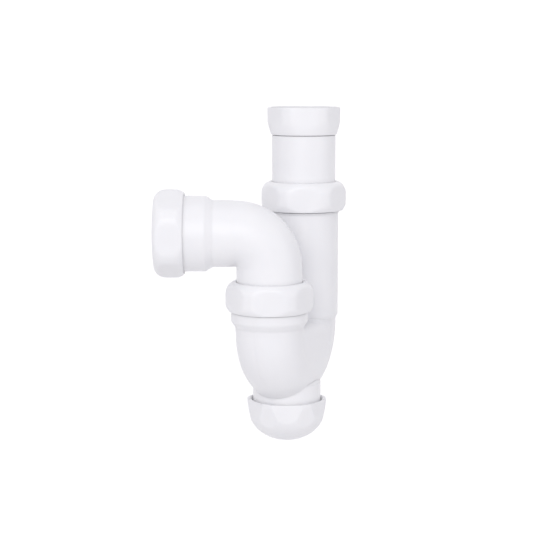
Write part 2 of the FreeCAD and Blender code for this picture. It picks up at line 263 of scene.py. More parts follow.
@dataclass(frozen=True)
class WhitePlastic:
    """Glossy white moulded polypropylene with soft edges, a faint flow pattern, one mould mark and painted
    shade in its recesses.
    """

    name: str
    mould: Mould = Mould.CLEAN
    mark_point: Point = ORIGIN
    mark_direction: Point = (1.0, 0.0, 0.0)
    clean: Colour = (0.905, 0.905, 0.925, 1.0)
    flow: Colour = (0.875, 0.876, 0.90, 1.0)
    # grey of the painted shade that darkens recesses
    recess_shade_colour: Colour = (0.70, 0.695, 0.69, 1.0)
    flow_size: float = 22 * MM
    flow_detail: float = 3.0
    flow_low: float = -0.4
    flow_high: float = 1.4
    skin_size: float = 2.6 * MM
    skin_depth: float = 0.035 * MM
    skin_strength: float = 0.5
    scuff_size: float = 7 * MM
    scuff_detail: float = 4.0
    gloss_low: float = 0.29
    gloss_high: float = 0.36
    edge_radius: float = 0.7 * MM
    recess_reach: float = 3.0 * MM
    recess_shade_share: float = 0.4
    ray_samples: int = 4
    mark_width: float = 0.22 * MM
    mark_depth: float = 0.10 * MM
    mark_strength: float = 0.8
    gate_radius: float = 1.6 * MM
    refraction: float = 1.49
    milky_share: float = 0.12
    milky_depth: float = 1.5 * MM
    milky_tint: Point = (1.0, 0.95, 0.9)

    def mark(self, sheet: NodeSheet, place: Socket) -> Socket | None:
        """Draw the mould mark as a height pattern.

        Args:
            sheet: the material being made.
            place: the point on the piece.

        Returns:
            The mark, 1 on it and 0 away from it, or None where there is none.
        """
        if self.mould is Mould.CLEAN:
            return None
        from_point = sheet.vector("SUBTRACT", place, self.mark_point).outputs["Vector"]
        if self.mould is Mould.SPLIT:
            across = sheet.vector("DOT_PRODUCT", from_point, self.mark_direction).outputs["Value"]
            distance = sheet.maths("ABSOLUTE", across)
        else:
            reach = sheet.vector("LENGTH", from_point).outputs["Value"]
            distance = sheet.maths("ABSOLUTE", sheet.maths("SUBTRACT", reach, self.gate_radius))
        return sheet.maths("SUBTRACT", 1.0, sheet.maths("DIVIDE", distance, self.mark_width), clamp=True)

    def material(self) -> Material:
        """Build the node material.

        Returns:
            The finished material.
        """
        sheet = NodeSheet(bpy.data.materials.new(self.name))
        place = sheet.place()
        flow = sheet.noise(place, self.flow_size, self.flow_detail)
        skin = sheet.noise(place, self.skin_size)
        scuffs = sheet.noise(place, self.scuff_size, self.scuff_detail)

        shade = sheet.blend(sheet.between(flow, self.flow_low, self.flow_high), self.clean, self.flow)
        # painted shade: the colour is pulled towards grey where ambient occlusion finds a recess
        recess = sheet.add("AmbientOcclusion", samples=self.ray_samples)
        recess.inputs["Distance"].default_value = self.recess_reach
        hidden = sheet.maths("SUBTRACT", 1.0, recess.outputs["AO"], clamp=True)
        shade = sheet.blend(sheet.maths("MULTIPLY", hidden, self.recess_shade_share), shade, self.recess_shade_colour)

        soft_edge = sheet.add("Bevel", samples=self.ray_samples)
        soft_edge.inputs["Radius"].default_value = self.edge_radius
        normal = sheet.relief(skin, self.skin_depth, self.skin_strength, soft_edge.outputs["Normal"])
        mark = self.mark(sheet, place)
        if mark is not None:
            normal = sheet.relief(mark, self.mark_depth, self.mark_strength, normal)

        shader = sheet.add("BsdfPrincipled")
        sheet.feed(shader.inputs["Base Color"], shade)
        sheet.feed(shader.inputs["Roughness"], sheet.between(scuffs, self.gloss_low, self.gloss_high))
        sheet.feed(shader.inputs["Normal"], normal)
        shader.inputs["IOR"].default_value = self.refraction
        shader.inputs["Subsurface Weight"].default_value = self.milky_share
        shader.inputs["Subsurface Radius"].default_value = self.milky_tint
        shader.inputs["Subsurface Scale"].default_value = self.milky_depth
        return sheet.finish(shader)


@dataclass(frozen=True)
class SealRubber:
    """Matt black moulded rubber with a fine grain and a little pale bloom."""

    name: str
    fresh: Colour = (0.018, 0.018, 0.020, 1.0)
    bloom: Colour = (0.060, 0.060, 0.062, 1.0)
    bloom_size: float = 5 * MM
    bloom_detail: float = 4.0
    grain_size: float = 0.35 * MM
    grain_depth: float = 0.03 * MM
    grain_strength: float = 0.6
    roughness_low: float = 0.55
    roughness_high: float = 0.75

    def material(self) -> Material:
        """Build the node material.

        Returns:
            The finished material.
        """
        sheet = NodeSheet(bpy.data.materials.new(self.name))
        place = sheet.place()
        bloom = sheet.noise(place, self.bloom_size, self.bloom_detail)
        grain = sheet.noise(place, self.grain_size)
        roughness = sheet.between(bloom, self.roughness_low, self.roughness_high)
        shader = sheet.add("BsdfPrincipled")
        sheet.feed(shader.inputs["Base Color"], sheet.blend(bloom, self.fresh, self.bloom))
        sheet.feed(shader.inputs["Roughness"], roughness)
        sheet.feed(shader.inputs["Normal"], sheet.relief(grain, self.grain_depth, self.grain_strength))
        return sheet.finish(shader)


def dress(node: str, finish: Material) -> None:
    """Give a CAD node its finish.

    Args:
        node: the node's name.
        finish: the material.
    """
    piece = frame["nodes"][node]
    if not piece.material_slots:
        piece.data.materials.append(finish)
    for place in piece.material_slots:
        place.material = finish
    log.info("%s dressed in %s", node, finish.name)


def middle_of(node: str) -> Vector:
    """Return the centre of a CAD node's box, in metres."""
    low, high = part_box(node)
    return (low + high) / 2


def mount_of(name: str) -> dict:
    """Return one of the record's mounts, found by its name."""
    return next(mount for mount in frame["record"]["mounts"] if mount["name"] == name)


def mesh_of(name: str, points: list, faces: list[Face]) -> Mesh:
    """Make a mesh.

    Args:
        name: its name.
        points: its points, in metres.
        faces: its faces, each a list of point numbers.

    Returns:
        The new mesh.
    """
    mesh = bpy.data.meshes.new(name)
    mesh.from_pydata(points, [], faces)
    return mesh


def link_piece(mesh: Mesh) -> bpy.types.Object:
    """Put a mesh in the scene.

    Args:
        mesh: the mesh.

    Returns:
        The new object, which has the mesh's name.
    """
    piece = bpy.data.objects.new(mesh.name, mesh)
    bpy.context.scene.collection.objects.link(piece)
    return piece


def turn_faces_outward(mesh: Mesh) -> int:
    """Turn the faces of a closed mesh outward.

    Args:
        mesh: the mesh.

    Returns:
        How many of its edges are open, 0 where it is closed.
    """
    shell = bmesh.new()
    shell.from_mesh(mesh)
    bmesh.ops.recalc_face_normals(shell, faces=shell.faces)
    open_edges = sum(1 for edge in shell.edges if len(edge.link_faces) != 2)
    shell.to_mesh(mesh)
    shell.free()
    return open_edges


def set_on_body(mesh: Mesh, body: str, finish: Material, crease_degrees: float) -> bpy.types.Object:
    """Smooth a plastic mesh, give it its finish and set it on a body.

    Args:
        mesh: the mesh, whose name the piece takes.
        body: the body that it moves with.
        finish: its material.
        crease_degrees: how sharply two faces meet where an edge stays sharp.

    Returns:
        The new piece.
    """
    mesh.shade_smooth()
    mesh.set_sharp_from_angle(angle=math.radians(crease_degrees))
    mesh.materials.append(finish)
    piece = link_piece(mesh)
    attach(piece, body)
    return piece


def join_sections(sections: int, count: int, all_round: bool = False, closed: bool = True) -> list[Face]:
    """Join the neighbouring sections of a mesh with bands of quads.

    Args:
        sections: how many sections there are.
        count: how many points each has.
        all_round: whether the last section is joined to the first.
        closed: whether a section's last point is joined to its first.

    Returns:
        The quads.
    """
    faces = []
    for section in range(sections if all_round else sections - 1):
        here = section * count
        there = (section + 1) % sections * count
        for index in range(count if closed else count - 1):
            following = (index + 1) % count
            faces.append((here + index, there + index, there + following, here + following))
    return faces


def soft_least(first: float, second: float, blend: float) -> float:
    """Give the smaller of two lengths, rounded where they are nearly the same.

    Args:
        first: one length.
        second: the other length.
        blend: how near they are where the rounding starts.

    Returns:
        The rounded smaller length.
    """
    nearness = max(blend - abs(first - second), 0.0) / blend
    return min(first, second) - nearness * nearness * blend / 4


def turn_from_flat(angle: float) -> float:
    """Return the turn from the middle of the nearest of six flats, in radians."""
    return (angle + SIXTH_TURN / 2) % SIXTH_TURN - SIXTH_TURN / 2


def ring_profile(corners: list[Point], spacing: float) -> list[Vector]:
    """Round the corners of a closed section and fill its long sides with points.

    Args:
        corners: each corner as (radius, height, reach of its rounding).
        spacing: the distance between points along a side.

    Returns:
        The section's points as (radius, height).
    """
    arc_steps = 4
    most_of_side = 0.45
    outline = []
    for index, (radius, height, rounding) in enumerate(corners):
        here = Vector((radius, height))
        back = Vector(corners[index - 1][:2]) - here
        ahead = Vector(corners[(index + 1) % len(corners)][:2]) - here
        reach = min(rounding, back.length * most_of_side, ahead.length * most_of_side)
        if reach == 0:
            outline.append(here)
            continue
        start = here + back.normalized() * reach
        end = here + ahead.normalized() * reach
        for step in range(arc_steps + 1):
            share = step / arc_steps
            outline.append(start.lerp(here, share).lerp(here.lerp(end, share), share))
    filled = []
    for index, point in enumerate(outline):
        following = outline[(index + 1) % len(outline)]
        pieces = max(1, round((following - point).length / spacing))
        filled.extend(point.lerp(following, piece / pieces) for piece in range(pieces))
    return filled


@dataclass(frozen=True)
class Lathe:
    """An axis about which sections are set, the first of them towards the viewer."""

    origin: Vector
    axis: Vector
    steps: int

    def angles(self) -> list[float]:
        """Return the sections' angles, in radians."""
        return [2 * math.pi * step / self.steps for step in range(self.steps)]

    def ring(self, angle: float, section: list[RadiusHeight]) -> list[Vector]:
        """Set one section.

        Args:
            angle: its angle from the front.
            section: its points as (radius, height along the axis).

        Returns:
            Its points in the row frame.
        """
        sideways = self.axis.cross(TOWARDS_VIEWER)
        outward = TOWARDS_VIEWER * math.cos(angle) + sideways * math.sin(angle)
        return [self.origin + outward * radius + self.axis * height for radius, height in section]


@dataclass
class ScrewThread:
    """One helical ridge, built about an axis that points out of the socket or nut.

    The phase height is where the helix has its zero turn. Half a pitch between the two of a pair lets
    them mesh.
    """

    name: str
    body: str
    side: Side
    root_radius: float
    depth: float
    start: float
    end: float
    origin: Vector
    axis: Vector
    pitch: float = THREAD_PITCH
    base_width: float = 1.5 * MM
    crest_width: float = 0.75 * MM
    crest_flat: float = 0.6
    shoulder_rise: float = 0.82
    sink: float = 0.12 * MM
    steps_per_turn: int = 72
    fade_degrees: float = 40.0
    share_at_ends: float = 0.04
    phase_height: float = 0.0
    crease_degrees: float = 50.0

    def section(self, share: float) -> list[RadiusHeight]:
        """Give the ridge's cross-section.

        Args:
            share: how much of the full depth stands there, 0 to 1.

        Returns:
            The corners as (radius, height), counted from the ridge's centre line.
        """
        outward = self.side.value
        foot = self.root_radius - outward * self.sink
        shoulder = self.root_radius + outward * self.depth * share * self.shoulder_rise
        crest = self.root_radius + outward * self.depth * share
        half_base = self.base_width / 2
        half_crest = self.crest_width / 2
        half_flat = half_crest * self.crest_flat
        return [
            (foot, -half_base),
            (shoulder, -half_crest),
            (crest, -half_flat),
            (crest, half_flat),
            (shoulder, half_crest),
            (foot, half_base),
        ]

    def fade(self, way: float) -> float:
        """Run the ridge out softly at its ends.

        Args:
            way: how far along the run-out a point is, 1 or more where the ridge is full.

        Returns:
            How much of the full depth stands there, 0 to 1.
        """
        way = min(1.0, way)
        return self.share_at_ends + (1 - self.share_at_ends) * way * way * (3 - 2 * way)

    def build(self, finish: Material) -> None:
        """Build the ridge and set it on its body.

        Args:
            finish: the material of the moulding that it belongs to.
        """
        turns = (self.end - self.start) / self.pitch
        steps = int(turns * self.steps_per_turn)
        fade_steps = self.fade_degrees / 360 * self.steps_per_turn
        turn_of_start = (self.start - self.phase_height) / self.pitch
        points = []
        for step in range(steps + 1):
            angle = 2 * math.pi * (turn_of_start + step / self.steps_per_turn)
            centre = self.start + self.pitch * step / self.steps_per_turn
            for radius, height in self.section(self.fade(min(step, steps - step) / fade_steps)):
                points.append((radius * math.cos(angle), radius * math.sin(angle), centre + height))
        corners = len(self.section(1.0))
        faces = join_sections(steps + 1, corners)
        faces.append(tuple(range(corners)))
        faces.append(tuple(reversed(range(steps * corners, (steps + 1) * corners))))
        if self.side is Side.FEMALE:
            faces = [face[::-1] for face in faces]
        mesh = mesh_of(self.name, points, faces)
        turn = UP.rotation_difference(self.axis).to_matrix().to_4x4()
        mesh.transform(Matrix.Translation(self.origin) @ turn)
        set_on_body(mesh, self.body, finish, self.crease_degrees)
        log.info("%s: %.1f turns on %s", self.name, turns, self.body)


@dataclass
class SoftNut:
    """A moulded nut whose six flats blend softly into its turned form.

    The first of its corners is the widest point of its bore, and what lies further out gets the flats.
    """

    node: str
    body: str
    mouth: Vector
    axis: Vector
    half_flats: float
    corners: list[Point]
    blend: float = 0.9 * MM
    spacing: float = 0.6 * MM
    angle_steps: int = 180
    crease_degrees: float = 40.0

    def flattened(self, radius: float, angle: float) -> float:
        """Draw a point of the turned outside in to the nearest flat.

        Args:
            radius: the point's distance from the axis.
            angle: its angle from the middle of the front flat, in radians.

        Returns:
            The new distance.
        """
        widest_bore = self.corners[0][0]
        if radius <= widest_bore:
            return radius
        return soft_least(radius, self.half_flats / math.cos(turn_from_flat(angle)), self.blend)

    def build(self, finish: Material) -> None:
        """Build the nut in place of its CAD node.

        Args:
            finish: its material.
        """
        section = ring_profile(self.corners, self.spacing)
        lathe = Lathe(self.mouth, self.axis, self.angle_steps)
        points = []
        for angle in lathe.angles():
            flattened = [(self.flattened(radius, angle), height) for radius, height in section]
            points += lathe.ring(angle, flattened)
        faces = join_sections(self.angle_steps, len(section), all_round=True)
        mesh = mesh_of("soft_" + self.node, points, faces)
        piece = set_on_body(mesh, self.body, finish, self.crease_degrees)
        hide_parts(self.node)
        log.info("%s: soft form in place of %s", piece.name, self.node)


@dataclass
class InletUnion:
    """The union nut at the top, the washer in it, and the telescopic inlet tube."""

    corner_radius: float = 22.9 * MM
    half_flats: float = 21.55 * MM
    thread_root: float = 20.95 * MM
    thread_depth: float = 1.35 * MM
    thread_inset: float = 1.0 * MM
    thread_pitch: float = 2.309 * MM
    thread_base: float = 1.9 * MM
    thread_crest: float = 0.5 * MM
    lead_in: float = 0.3 * MM
    lead_in_depth: float = 0.7 * MM
    relief_radius: float = 20.0 * MM
    floor_height: float = 14.0 * MM
    nut_height: float = 17.2 * MM
    band_height: float = 9.8 * MM
    foot_radius: float = 20.7 * MM
    hole_radius: float = 18.2 * MM
    mouth_rounding: float = 1.1 * MM
    band_rounding: float = 2.6 * MM
    foot_rounding: float = 0.6 * MM
    edge_radius: float = 0.5 * MM

    def nut_corners(self, thread_length: float) -> list[Point]:
        """Give the nut's section.

        Args:
            thread_length: how deep the thread goes.

        Returns:
            Its corners as (radius, height from the mouth, reach of the rounding).
        """
        return [
            (self.thread_root + self.lead_in, 0, 0),
            (self.corner_radius, 0, self.mouth_rounding),
            (self.corner_radius, self.band_height, self.band_rounding),
            (self.foot_radius, self.nut_height, self.foot_rounding),
            (self.hole_radius, self.nut_height, 0),
            (self.hole_radius, self.floor_height, 0),
            (self.relief_radius, self.floor_height, 0),
            (self.relief_radius, thread_length, 0),
            (self.thread_root, thread_length, 0),
            (self.thread_root, self.lead_in_depth, 0),
        ]

    def build(self) -> None:
        """Dress the tube and washer, and build the nut with its female thread."""
        mount = mount_of("inlet")
        mouth = Vector(mount["pos_m"])
        outward = Vector(mount["axis"])
        thread_length = mount["dims"]["length_mm"] * MM
        nut = WhitePlastic("inlet_nut_look", edge_radius=self.edge_radius).material()
        tube = WhitePlastic("inlet_tube_look", Mould.SPLIT, ORIGIN, BACKWARDS).material()
        dress("inlet_tube", tube)
        dress("inlet_washer", SealRubber("inlet_washer_look").material())
        SoftNut(
            node="inlet_nut",
            body="union_nut",
            mouth=mouth,
            axis=-outward,
            half_flats=self.half_flats,
            corners=self.nut_corners(thread_length),
        ).build(nut)
        ScrewThread(
            name="inlet_nut_thread",
            body="union_nut",
            side=Side.FEMALE,
            root_radius=self.thread_root,
            depth=self.thread_depth,
            start=-thread_length + self.thread_inset,
            end=-self.thread_inset,
            origin=mouth,
            axis=outward,
            pitch=self.thread_pitch,
            base_width=self.thread_base,
            crest_width=self.thread_crest,
        ).build(nut)


@dataclass
class CompressionJoint:
    """A threaded socket, the conical seal in its mouth and the nut that closes it."""

    name: str
    nut_body: str
    socket_body: str
    axis: Vector
    socket_finish: Material
    mouth_drop: float = 9.964 * MM
    socket_root: float = 23.6 * MM
    socket_thread_length: float = 9.4 * MM
    nut_bore: float = 23.9 * MM
    nut_thread_length: float = 12.4 * MM
    thread_depth: float = 0.22 * MM
    thread_inset: float = 1.5 * MM
    lead_in: float = 0.4 * MM
    lead_in_depth: float = 0.9 * MM
    nut_height: float = 18.0 * MM
    top_wall: float = 3.4 * MM
    half_flats: float = 24.75 * MM
    lip_radius: float = 24.75 * MM
    lip_rounding: float = 0.4 * MM
    corner_radius: float = 26.7 * MM
    band_start: float = 3.1 * MM
    band_start_rounding: float = 2.2 * MM
    band_end: float = 12.6 * MM
    band_end_rounding: float = 3.0 * MM
    shoulder_radius: float = 25.1 * MM
    shoulder_height: float = 16.0 * MM
    shoulder_rounding: float = 1.8 * MM
    crown_radius: float = 22.3 * MM
    crown_rounding: float = 1.2 * MM
    hole_radius: float = 20.35 * MM
    hole_rounding: float = 0.25 * MM
    bore_rounding: float = 0.8 * MM
    edge_radius: float = 0.5 * MM

    def nut_corners(self) -> list[Point]:
        """Give the nut's section.

        Returns:
            Its corners as (radius, height from the mouth, reach of the rounding).
        """
        bore_end = self.nut_height - self.top_wall
        return [
            (self.nut_bore + self.lead_in, 0, 0),
            (self.lip_radius, 0, self.lip_rounding),
            (self.corner_radius, self.band_start, self.band_start_rounding),
            (self.corner_radius, self.band_end, self.band_end_rounding),
            (self.shoulder_radius, self.shoulder_height, self.shoulder_rounding),
            (self.crown_radius, self.nut_height, self.crown_rounding),
            (self.hole_radius, self.nut_height, self.hole_rounding),
            (self.hole_radius, bore_end, 0),
            (self.nut_bore, bore_end, self.bore_rounding),
            (self.nut_bore, self.lead_in_depth, 0),
        ]

    def nut_mouth(self, node: str) -> Vector:
        """Find the centre of the nut's open mouth from the CAD node's own box.

        Args:
            node: the nut's CAD node.

        Returns:
            The centre, in metres.
        """
        low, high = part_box(node)
        half_length = abs((high - low).dot(self.axis)) / 2
        return middle_of(node) - self.axis * half_length

    def build(self) -> None:
        """Dress the seal, build the nut and cut both threads."""
        nut_node = self.name + "_nut"
        seal_node = self.name + "_seal"
        nut = WhitePlastic(nut_node + "_look", edge_radius=self.edge_radius).material()
        dress(seal_node, SealRubber(seal_node + "_look").material())
        mouth = self.nut_mouth(nut_node)
        SoftNut(
            node=nut_node,
            body=self.nut_body,
            mouth=mouth,
            axis=self.axis,
            half_flats=self.half_flats,
            corners=self.nut_corners(),
        ).build(nut)
        ScrewThread(
            name=self.name + "_socket_thread",
            body=self.socket_body,
            side=Side.MALE,
            root_radius=self.socket_root,
            depth=self.thread_depth,
            start=-self.socket_thread_length + self.thread_inset,
            end=-self.thread_inset,
            origin=mouth + self.axis * self.mouth_drop,
            axis=self.axis,
        ).build(self.socket_finish)
        ScrewThread(
            name=nut_node + "_thread",
            body=self.nut_body,
            side=Side.FEMALE,
            root_radius=self.nut_bore,
            depth=self.thread_depth,
            start=self.thread_inset,
            end=self.nut_thread_length,
            origin=mouth,
            axis=self.axis,
            phase_height=self.mouth_drop + THREAD_PITCH / 2,
        ).build(nut)


@dataclass
class CrotchFillet:
    """The soft saddle that fills the crotch between the legs, above the web."""

    along: Vector
    leg_radius: float = 20.62 * MM
    core_radius: float = 19.65 * MM
    half_spacing: float = 26.3 * MM
    bend_centre: float = -135.2 * MM
    half_width: float = 20.36 * MM
    core_half_width: float = 19.3 * MM
    saddle_top: float = -132.5 * MM
    saddle_rounding: float = 7.0 * MM
    fillet_radius: float = 4.5 * MM
    sink: float = 0.2 * MM
    skirt_bend: float = -149.0 * MM
    skirt_foot: float = -153.0 * MM
    skirt_tuck: float = 0.15 * MM
    rows: int = 56
    columns: int = 72
    crease_degrees: float = 60.0

    def gap(self, radius: float, offset: float) -> float:
        """Return half the space between the legs, at an offset from the plane of their axes."""
        return self.half_spacing - math.sqrt(radius ** 2 - offset ** 2)

    def top_height(self, offset: float, reach: float) -> float:
        """Give the height of the saddle's upper face.

        Args:
            offset: the distance from the plane of the legs' axes.
            reach: the distance from the middle, towards a leg.

        Returns:
            The height, which rounds off at the sides and rises to the legs.
        """
        past = max(abs(offset) - (self.half_width - self.saddle_rounding), 0.0)
        drop = self.saddle_rounding - math.sqrt(self.saddle_rounding ** 2 - past ** 2)
        start = self.gap(self.leg_radius, offset) - self.fillet_radius
        climb = min(max(abs(reach) - start, 0.0), self.fillet_radius)
        rise = self.fillet_radius - math.sqrt(self.fillet_radius ** 2 - climb ** 2)
        return self.saddle_top - drop + rise

    def skirt(self, reach: float) -> list[Point]:
        """Return one side's points from the foot up, at a distance from the middle."""
        return [
            (self.half_width - self.skirt_tuck, reach, self.skirt_foot),
            (self.half_width, reach, self.skirt_bend),
        ]

    def section(self, share: float) -> list[Point]:
        """Give one closed section through the saddle.

        Args:
            share: where it stands, from -1 at one leg to 1 at the other.

        Returns:
            Its points as (offset, reach, height): over the top, then back inside the body's wall.
        """
        turns = [math.pi * (row / self.rows - 0.5) for row in range(self.rows + 1)]
        skirt = self.skirt(share * (self.gap(self.leg_radius, self.half_width) + self.sink))
        points = [(-offset, reach, height) for offset, reach, height in skirt]
        for turn in turns:
            offset = self.half_width * math.sin(turn)
            reach = share * (self.gap(self.leg_radius, offset) + self.sink)
            points.append((offset, reach, self.top_height(offset, reach)))
        points.extend(reversed(skirt))
        for turn in reversed(turns):
            offset = self.core_half_width * math.sin(turn)
            limit = self.gap(self.core_radius, offset)
            reach = share * limit
            depth = math.sqrt(max(limit ** 2 - reach ** 2, 0.0))
            points.append((offset, reach, self.bend_centre - depth))
        return points

    def end_face(self, first: int, count: int) -> list[Face]:
        """Close one end section.

        Args:
            first: the number of its first point.
            count: how many points it has.

        Returns:
            The faces between the section's top and its way back inside the wall.
        """
        skirt_points = len(self.skirt(0))
        last = first + count - 1
        inner = last - self.rows
        faces = []
        for row in range(self.rows):
            top = first + skirt_points + row
            faces.append((top, top + 1, last - row - 1, last - row))
        for index in range(skirt_points):
            faces.append((last, first + index, first + index + 1))
            faces.append((inner, inner - index - 1, inner - index - 2))
        return faces

    def build(self, finish: Material) -> None:
        """Build the saddle as a closed piece that is rooted in the body's wall.

        Args:
            finish: its material.
        """
        across = Vector((-self.along.y, self.along.x, 0))
        middle = self.along * self.half_spacing
        points = []
        for column in range(self.columns + 1):
            for offset, reach, height in self.section(2 * column / self.columns - 1):
                points.append(middle + across * offset + self.along * reach + UP * height)
        count = len(self.section(0))
        faces = join_sections(self.columns + 1, count)
        faces += self.end_face(0, count)
        faces += self.end_face(self.columns * count, count)
        mesh = mesh_of("crotch_fillet", points, faces)
        open_edges = turn_faces_outward(mesh)
        piece = set_on_body(mesh, "trap", finish, self.crease_degrees)
        log.info("%s: %d faces, %d open edges", piece.name, len(mesh.polygons), open_edges)


@dataclass
class TrapBody:
    """The moulding with both legs, the bend and the cleanout neck."""

    edge_radius: float = 2.0 * MM
    saddle_edge_radius: float = 0.3 * MM

    def build(self) -> Material:
        """Dress the moulding, with a parting line in the plane of its bend, and add the saddle.

        Returns:
            The moulding's material, which its threads share.
        """
        neck = middle_of("cleanout_cap")
        along = Vector((neck.x, neck.y, 0)).normalized()
        parting = (Mould.SPLIT, tuple(neck), (-along.y, along.x, 0.0))
        look = WhitePlastic("trap_body_look", *parting, edge_radius=self.edge_radius).material()
        saddle = WhitePlastic("saddle_look", *parting, edge_radius=self.saddle_edge_radius).material()
        dress("trap_body", look)
        CrotchFillet(along=along).build(saddle)
        return look


@dataclass
class OutletElbow:
    """The swivelling elbow with its plain spigot and its socket."""

    edge_radius: float = 2.0 * MM

    def build(self) -> Material:
        """Dress the elbow, with a parting line in the plane of its bend.

        Returns:
            The elbow's material, which the thread on its socket shares.
        """
        parting = (Mould.SPLIT, tuple(mount_of("outlet")["pos_m"]), BACKWARDS)
        look = WhitePlastic("outlet_elbow_look", *parting, edge_radius=self.edge_radius).material()
        dress("outlet_elbow", look)
        return look


@dataclass
class SoftCap:
    """The domed cap, whose six nearly upright flats alternate with six leaning corner facets.

    A lean is how far a facet comes in for each length that it goes down. Fullness is the power in the
    dome's outline: 2 gives half an ellipse, and more gives a fuller dome.
    """

    rim: Vector
    radius: float = 24.85 * MM
    depth: float = 26.5 * MM
    fullness: float = 2.67
    flat_at_rim: float = 22.9 * MM
    flat_lean: float = -0.055
    corner_at_rim: float = 25.15 * MM
    corner_lean: float = 0.20
    blend: float = 0.25 * MM
    rim_edge: float = 0.5 * MM
    mouth_radius: float = 22.6 * MM
    mouth_relief: float = 1.5 * MM
    bore_radius: float = 21.5 * MM
    bore_end: float = 8.4 * MM
    seat_radius: float = 21.25 * MM
    seat_depth: float = 11.45 * MM
    hollow_radius: float = 17.6 * MM
    wall: float = 2.2 * MM
    angle_steps: int = 360
    dome_steps: int = 72
    crease_degrees: float = 40.0

    def dome(self, radius: float, depth: float) -> list[RadiusHeight]:
        """Give a dome's section.

        Args:
            radius: its radius at the rim.
            depth: how far below the rim its apex lies.

        Returns:
            Its points as (radius, height below the rim), from the rim to near the axis.
        """
        section = []
        for step in range(self.dome_steps):
            height = depth * math.sin(math.pi / 2 * step / self.dome_steps)
            left = max(1 - (height / depth) ** self.fullness, 0.0)
            section.append((radius * math.sqrt(left), height))
        return section

    def outside(self) -> list[RadiusHeight]:
        """Give the outside's section before the facets are cut.

        Returns:
            Its points as (radius, height below the rim), from the rim to near the axis.
        """
        section = []
        for radius, height in self.dome(self.radius, self.depth):
            drop = max(self.rim_edge - height, 0.0)
            round_off = self.rim_edge - math.sqrt(self.rim_edge ** 2 - drop ** 2)
            section.append((radius - round_off, height))
        return section

    def inside(self) -> list[RadiusHeight]:
        """Give the inside's section: the mouth, the bore, the gasket's seat and the hollow dome.

        Returns:
            Its points as (radius, height below the rim), from the rim to near the axis.
        """
        section = [
            (self.mouth_radius, 0.0),
            (self.bore_radius, self.mouth_relief),
            (self.bore_radius, self.bore_end),
            (self.seat_radius, self.bore_end),
            (self.seat_radius, self.seat_depth),
            (self.hollow_radius, self.seat_depth),
        ]
        for radius, height in self.dome(self.radius - self.wall, self.depth - self.wall):
            if height > self.seat_depth and radius < self.hollow_radius:
                section.append((radius, height))
        return section

    def faceted(self, radius: float, height: float, angle: float) -> float:
        """Draw a point of the dome in to the nearest facet.

        Args:
            radius: the dome's radius.
            height: the distance below the rim.
            angle: the angle from the middle of the front flat, in radians.

        Returns:
            The new radius.
        """
        from_flat = turn_from_flat(angle)
        from_corner = SIXTH_TURN / 2 - abs(from_flat)
        flat = (self.flat_at_rim - self.flat_lean * height) / math.cos(from_flat)
        corner = (self.corner_at_rim - self.corner_lean * height) / math.cos(from_corner)
        return soft_least(radius, soft_least(flat, corner, self.blend), self.blend)

    def build(self, finish: Material) -> None:
        """Build the cap in place of its CAD node.

        Args:
            finish: its material.
        """
        outside = self.outside()[::-1]
        inside = self.inside()
        count = len(outside) + len(inside)
        lathe = Lathe(self.rim, DOWN, self.angle_steps)
        points = []
        for angle in lathe.angles():
            facets = [(self.faceted(radius, height, angle), height) for radius, height in outside]
            points += lathe.ring(angle, facets + inside)
        faces = join_sections(self.angle_steps, count, all_round=True, closed=False)
        apex = len(points)
        points += lathe.ring(0, [(0, self.depth), (0, self.depth - self.wall)])
        for step in range(self.angle_steps):
            here = step * count
            there = (step + 1) % self.angle_steps * count
            faces.append((here, apex, there))
            faces.append((here + count - 1, there + count - 1, apex + 1))
        mesh = mesh_of("soft_cleanout_cap", points, faces)
        open_edges = turn_faces_outward(mesh)
        piece = set_on_body(mesh, "cap", finish, self.crease_degrees)
        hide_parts("cleanout_cap")
        log.info("%s: soft form in place of cleanout_cap, %d open edges", piece.name, open_edges)


@dataclass
class Cleanout:
    """The screw cap under the bend, with its gasket and the thread on the neck."""

    neck_finish: Material
    neck_length_in_cap: float = 9.2 * MM
    neck_root: float = 21.2 * MM
    cap_root: float = 21.5 * MM
    thread_depth: float = 0.22 * MM
    thread_inset: float = 1.4 * MM
    rim_space: float = 2.0 * MM
    cap_thread_space: float = 2.6 * MM
    edge_radius: float = 0.4 * MM

    def build(self) -> None:
        """Build the cap, dress its gasket, and cut both threads."""
        low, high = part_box("cleanout_cap")
        neck = middle_of("cleanout_cap")
        rim = Vector((neck.x, neck.y, high.z))
        apex = (neck.x, neck.y, low.z)
        cap = WhitePlastic("cleanout_cap_look", Mould.PULLED, apex, edge_radius=self.edge_radius).material()
        SoftCap(rim).build(cap)
        dress("cleanout_gasket", SealRubber("cleanout_gasket_look").material())
        thread_end = self.neck_length_in_cap - self.thread_inset
        ScrewThread(
            name="neck_thread",
            body="trap",
            side=Side.MALE,
            root_radius=self.neck_root,
            depth=self.thread_depth,
            start=self.rim_space,
            end=thread_end,
            origin=rim,
            axis=DOWN,
        ).build(self.neck_finish)
        ScrewThread(
            name="cap_thread",
            body="cap",
            side=Side.FEMALE,
            root_radius=self.cap_root,
            depth=self.thread_depth,
            start=self.cap_thread_space,
            end=thread_end,
            origin=rim,
            axis=DOWN,
            phase_height=THREAD_PITCH / 2,
        ).build(cap)


@dataclass(frozen=True)
class Softbox:
    """One rectangular studio lamp that points at the trap."""

    name: str
    position: Point
    width: float
    height: float
    watts: float

    def build(self, target: Vector) -> None:
        """Hang the lamp.

        Args:
            target: the point that it faces.
        """
        lamp = bpy.data.lights.new(self.name, "AREA")
        lamp.shape = "RECTANGLE"
        lamp.size = self.width
        lamp.size_y = self.height
        lamp.energy = self.watts
        holder = bpy.data.objects.new(self.name, lamp)
        holder.location = self.position
        holder.rotation_euler = (target - Vector(self.position)).to_track_quat("-Z", "Y").to_euler()
        bpy.context.scene.collection.objects.link(holder)
        log.info("%s hung", self.name)


